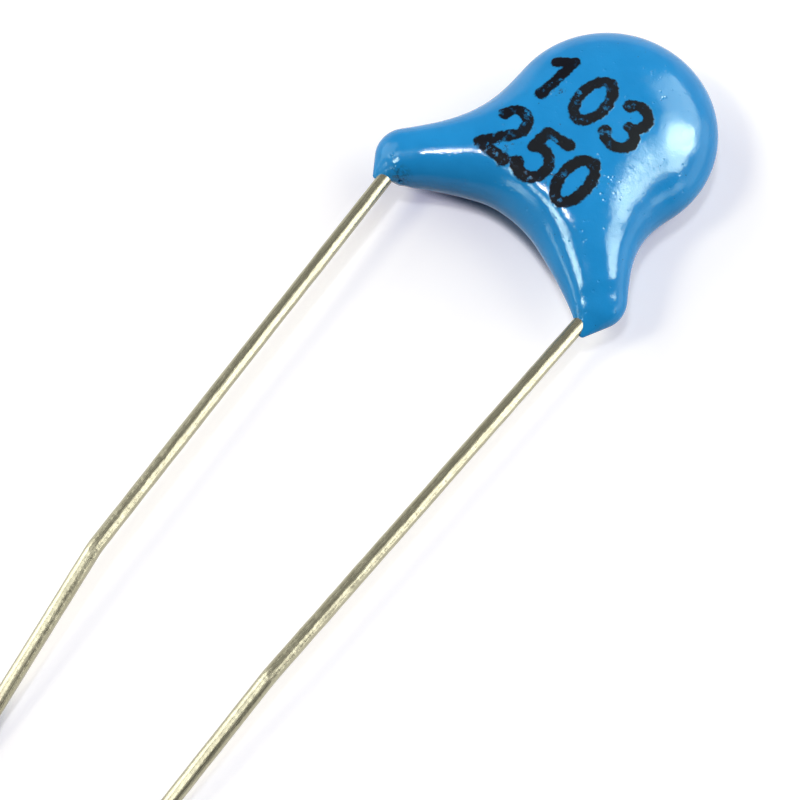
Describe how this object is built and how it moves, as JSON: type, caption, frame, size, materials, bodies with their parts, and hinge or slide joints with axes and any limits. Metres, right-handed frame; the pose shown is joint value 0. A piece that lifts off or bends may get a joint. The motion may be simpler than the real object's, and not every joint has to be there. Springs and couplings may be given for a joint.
{
  "type": "ceramic disc capacitor",
  "caption": "Round dipped ceramic capacitor with two flared coating legs and two long kinked wire leads, lying on its back.",
  "frame": {"origin": "on the flat of the coating's underside, midway between the two legs and level with the centre of the disc", "axes": "+Z is the normal of the printed front face, +X runs across the leads, and the leads point toward -Y"},
  "size_m": [0.0117, 0.0396, 0.0036],
  "materials": {
    "blue_epoxy": "glossy dipped epoxy coating",
    "ceramic": "matt sintered ceramic",
    "fired_silver": "matt fired silver",
    "solder": "smooth solder",
    "tinned_wire": "bright tinned wire with fine draw marks"
  },
  "bodies": {
    "root": {"epoxy_coating": "blue_epoxy", "ceramic_disc": "ceramic", "front_electrode": "fired_silver", "back_electrode": "fired_silver", "front_solder": "solder", "back_solder": "solder", "left_lead": "tinned_wire", "right_lead": "tinned_wire"}
  },
  "joints": []
}
